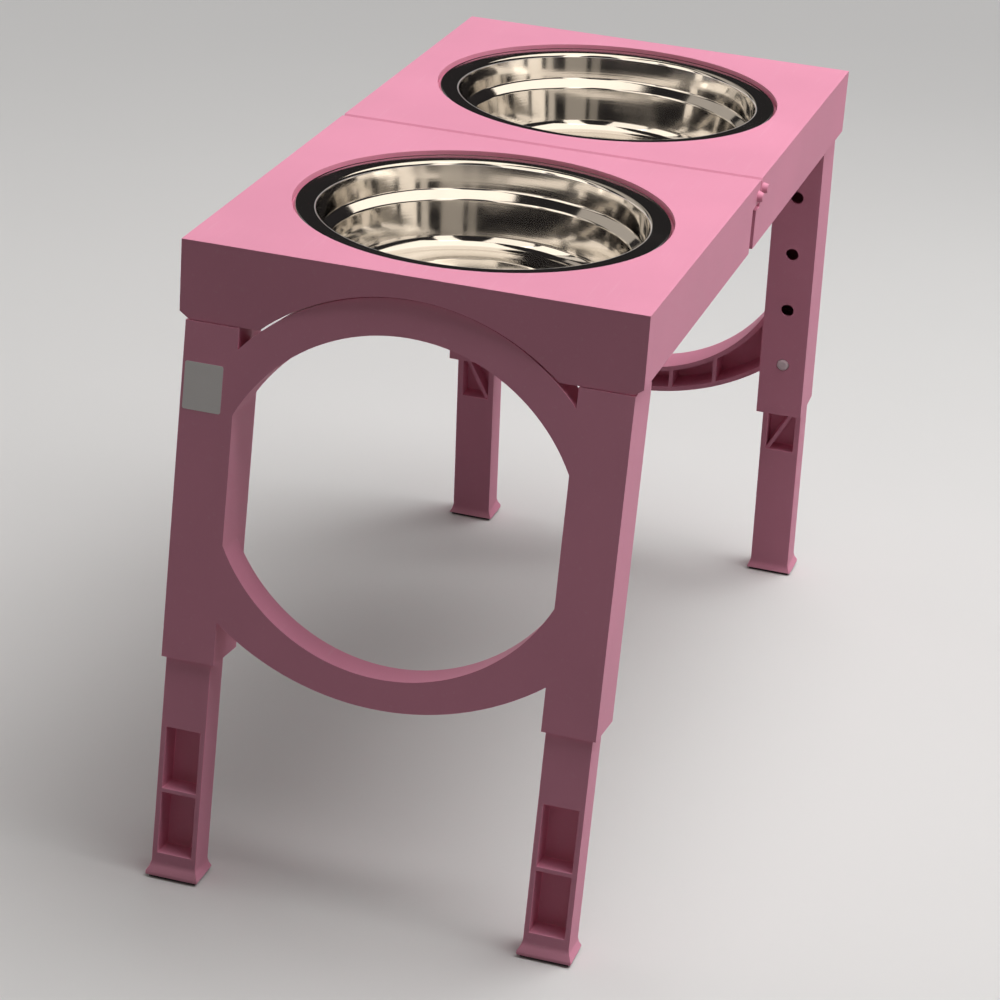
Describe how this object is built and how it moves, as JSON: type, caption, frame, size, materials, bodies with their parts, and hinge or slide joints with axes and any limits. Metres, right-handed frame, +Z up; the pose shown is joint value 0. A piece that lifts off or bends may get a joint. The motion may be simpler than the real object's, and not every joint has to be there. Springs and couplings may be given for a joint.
{
  "type": "folding dog feeder stand",
  "caption": "Folding raised dog feeder with lift-out steel bowls in a two-part plastic top, on end frames with telescoping legs.",
  "frame": {"origin": "on the floor, under the middle of the stand", "axes": "+Z up, +Y along the stand towards its rear end, +X across it to the right"},
  "size_m": [0.246, 0.5468, 0.343],
  "materials": {
    "pink_plastic": "moulded, satin",
    "pale_plastic": "moulded, smooth",
    "rubber": "matt",
    "steel_pin": "turned",
    "bowl_steel": "polished stainless steel"
  },
  "bodies": {
    "front_half": {"front_top": "pink_plastic", "front_left_pivot_pin": "steel_pin", "front_right_pivot_pin": "steel_pin", "left_fold_pin": "steel_pin", "right_fold_pin": "steel_pin"},
    "rear_half": {"rear_top": "pink_plastic", "rear_left_pivot_pin": "steel_pin", "rear_right_pivot_pin": "steel_pin"},
    "front_frame": {"front_leg_frame": "pink_plastic"},
    "rear_frame": {"rear_leg_frame": "pink_plastic"},
    "front_left_leg": {"front_left_lower_leg": "pink_plastic", "front_left_foot_pad": "rubber"},
    "front_left_button": {"front_left_snap_button": "pale_plastic"},
    "front_right_leg": {"front_right_lower_leg": "pink_plastic", "front_right_foot_pad": "rubber"},
    "front_right_button": {"front_right_snap_button": "pale_plastic"},
    "front_bowl": {"front_bowl": "bowl_steel"},
    "rear_left_leg": {"rear_left_lower_leg": "pink_plastic", "rear_left_foot_pad": "rubber"},
    "rear_left_button": {"rear_left_snap_button": "pale_plastic"},
    "rear_right_leg": {"rear_right_lower_leg": "pink_plastic", "rear_right_foot_pad": "rubber"},
    "rear_right_button": {"rear_right_snap_button": "pale_plastic"},
    "rear_bowl": {"rear_bowl": "bowl_steel"}
  },
  "joints": [
    {"name": "table_fold", "type": "hinge", "parent": "front_half", "child": "rear_half", "pos_m": [0, 0, 0.3], "axis": [-1, 0, 0], "range_deg": [0, 70]},
    {"name": "front_frame_fold", "type": "hinge", "parent": "front_half", "child": "front_frame", "pos_m": [0, -0.222, 0.319], "axis": [1, 0, 0], "range_deg": [0, 96]},
    {"name": "rear_frame_fold", "type": "hinge", "parent": "rear_half", "child": "rear_frame", "pos_m": [0, 0.222, 0.319], "axis": [-1, 0, 0], "range_deg": [0, 96]},
    {"name": "front_left_leg_slide", "type": "slide", "parent": "front_frame", "child": "front_left_leg", "axis": [0, 0.108, 0.9942], "range_m": [0, 0.114], "deforming": ["front_left_snap_button"]},
    {"name": "front_left_button_press", "type": "slide", "parent": "front_left_leg", "child": "front_left_button", "axis": [0, -0.9942, 0.108], "range_m": [0, 0.003], "stiffness_N_per_m": 400, "springref_m": -0.004},
    {"name": "front_right_leg_slide", "type": "slide", "parent": "front_frame", "child": "front_right_leg", "axis": [0, 0.108, 0.9942], "range_m": [0, 0.114], "deforming": ["front_right_snap_button"]},
    {"name": "front_right_button_press", "type": "slide", "parent": "front_right_leg", "child": "front_right_button", "axis": [0, -0.9942, 0.108], "range_m": [0, 0.003], "stiffness_N_per_m": 400, "springref_m": -0.004},
    {"name": "front_bowl_lift", "type": "slide", "parent": "front_half", "child": "front_bowl", "axis": [0, 0, 1], "range_m": [0, 0.09]},
    {"name": "rear_left_leg_slide", "type": "slide", "parent": "rear_frame", "child": "rear_left_leg", "axis": [0, -0.108, 0.9942], "range_m": [0, 0.114], "deforming": ["rear_left_snap_button"]},
    {"name": "rear_left_button_press", "type": "slide", "parent": "rear_left_leg", "child": "rear_left_button", "axis": [0, 0.9942, 0.108], "range_m": [0, 0.003], "stiffness_N_per_m": 400, "springref_m": -0.004},
    {"name": "rear_right_leg_slide", "type": "slide", "parent": "rear_frame", "child": "rear_right_leg", "axis": [0, -0.108, 0.9942], "range_m": [0, 0.114], "deforming": ["rear_right_snap_button"]},
    {"name": "rear_right_button_press", "type": "slide", "parent": "rear_right_leg", "child": "rear_right_button", "axis": [0, 0.9942, 0.108], "range_m": [0, 0.003], "stiffness_N_per_m": 400, "springref_m": -0.004},
    {"name": "rear_bowl_lift", "type": "slide", "parent": "rear_half", "child": "rear_bowl", "axis": [0, 0, 1], "range_m": [0, 0.09]}
  ]
}
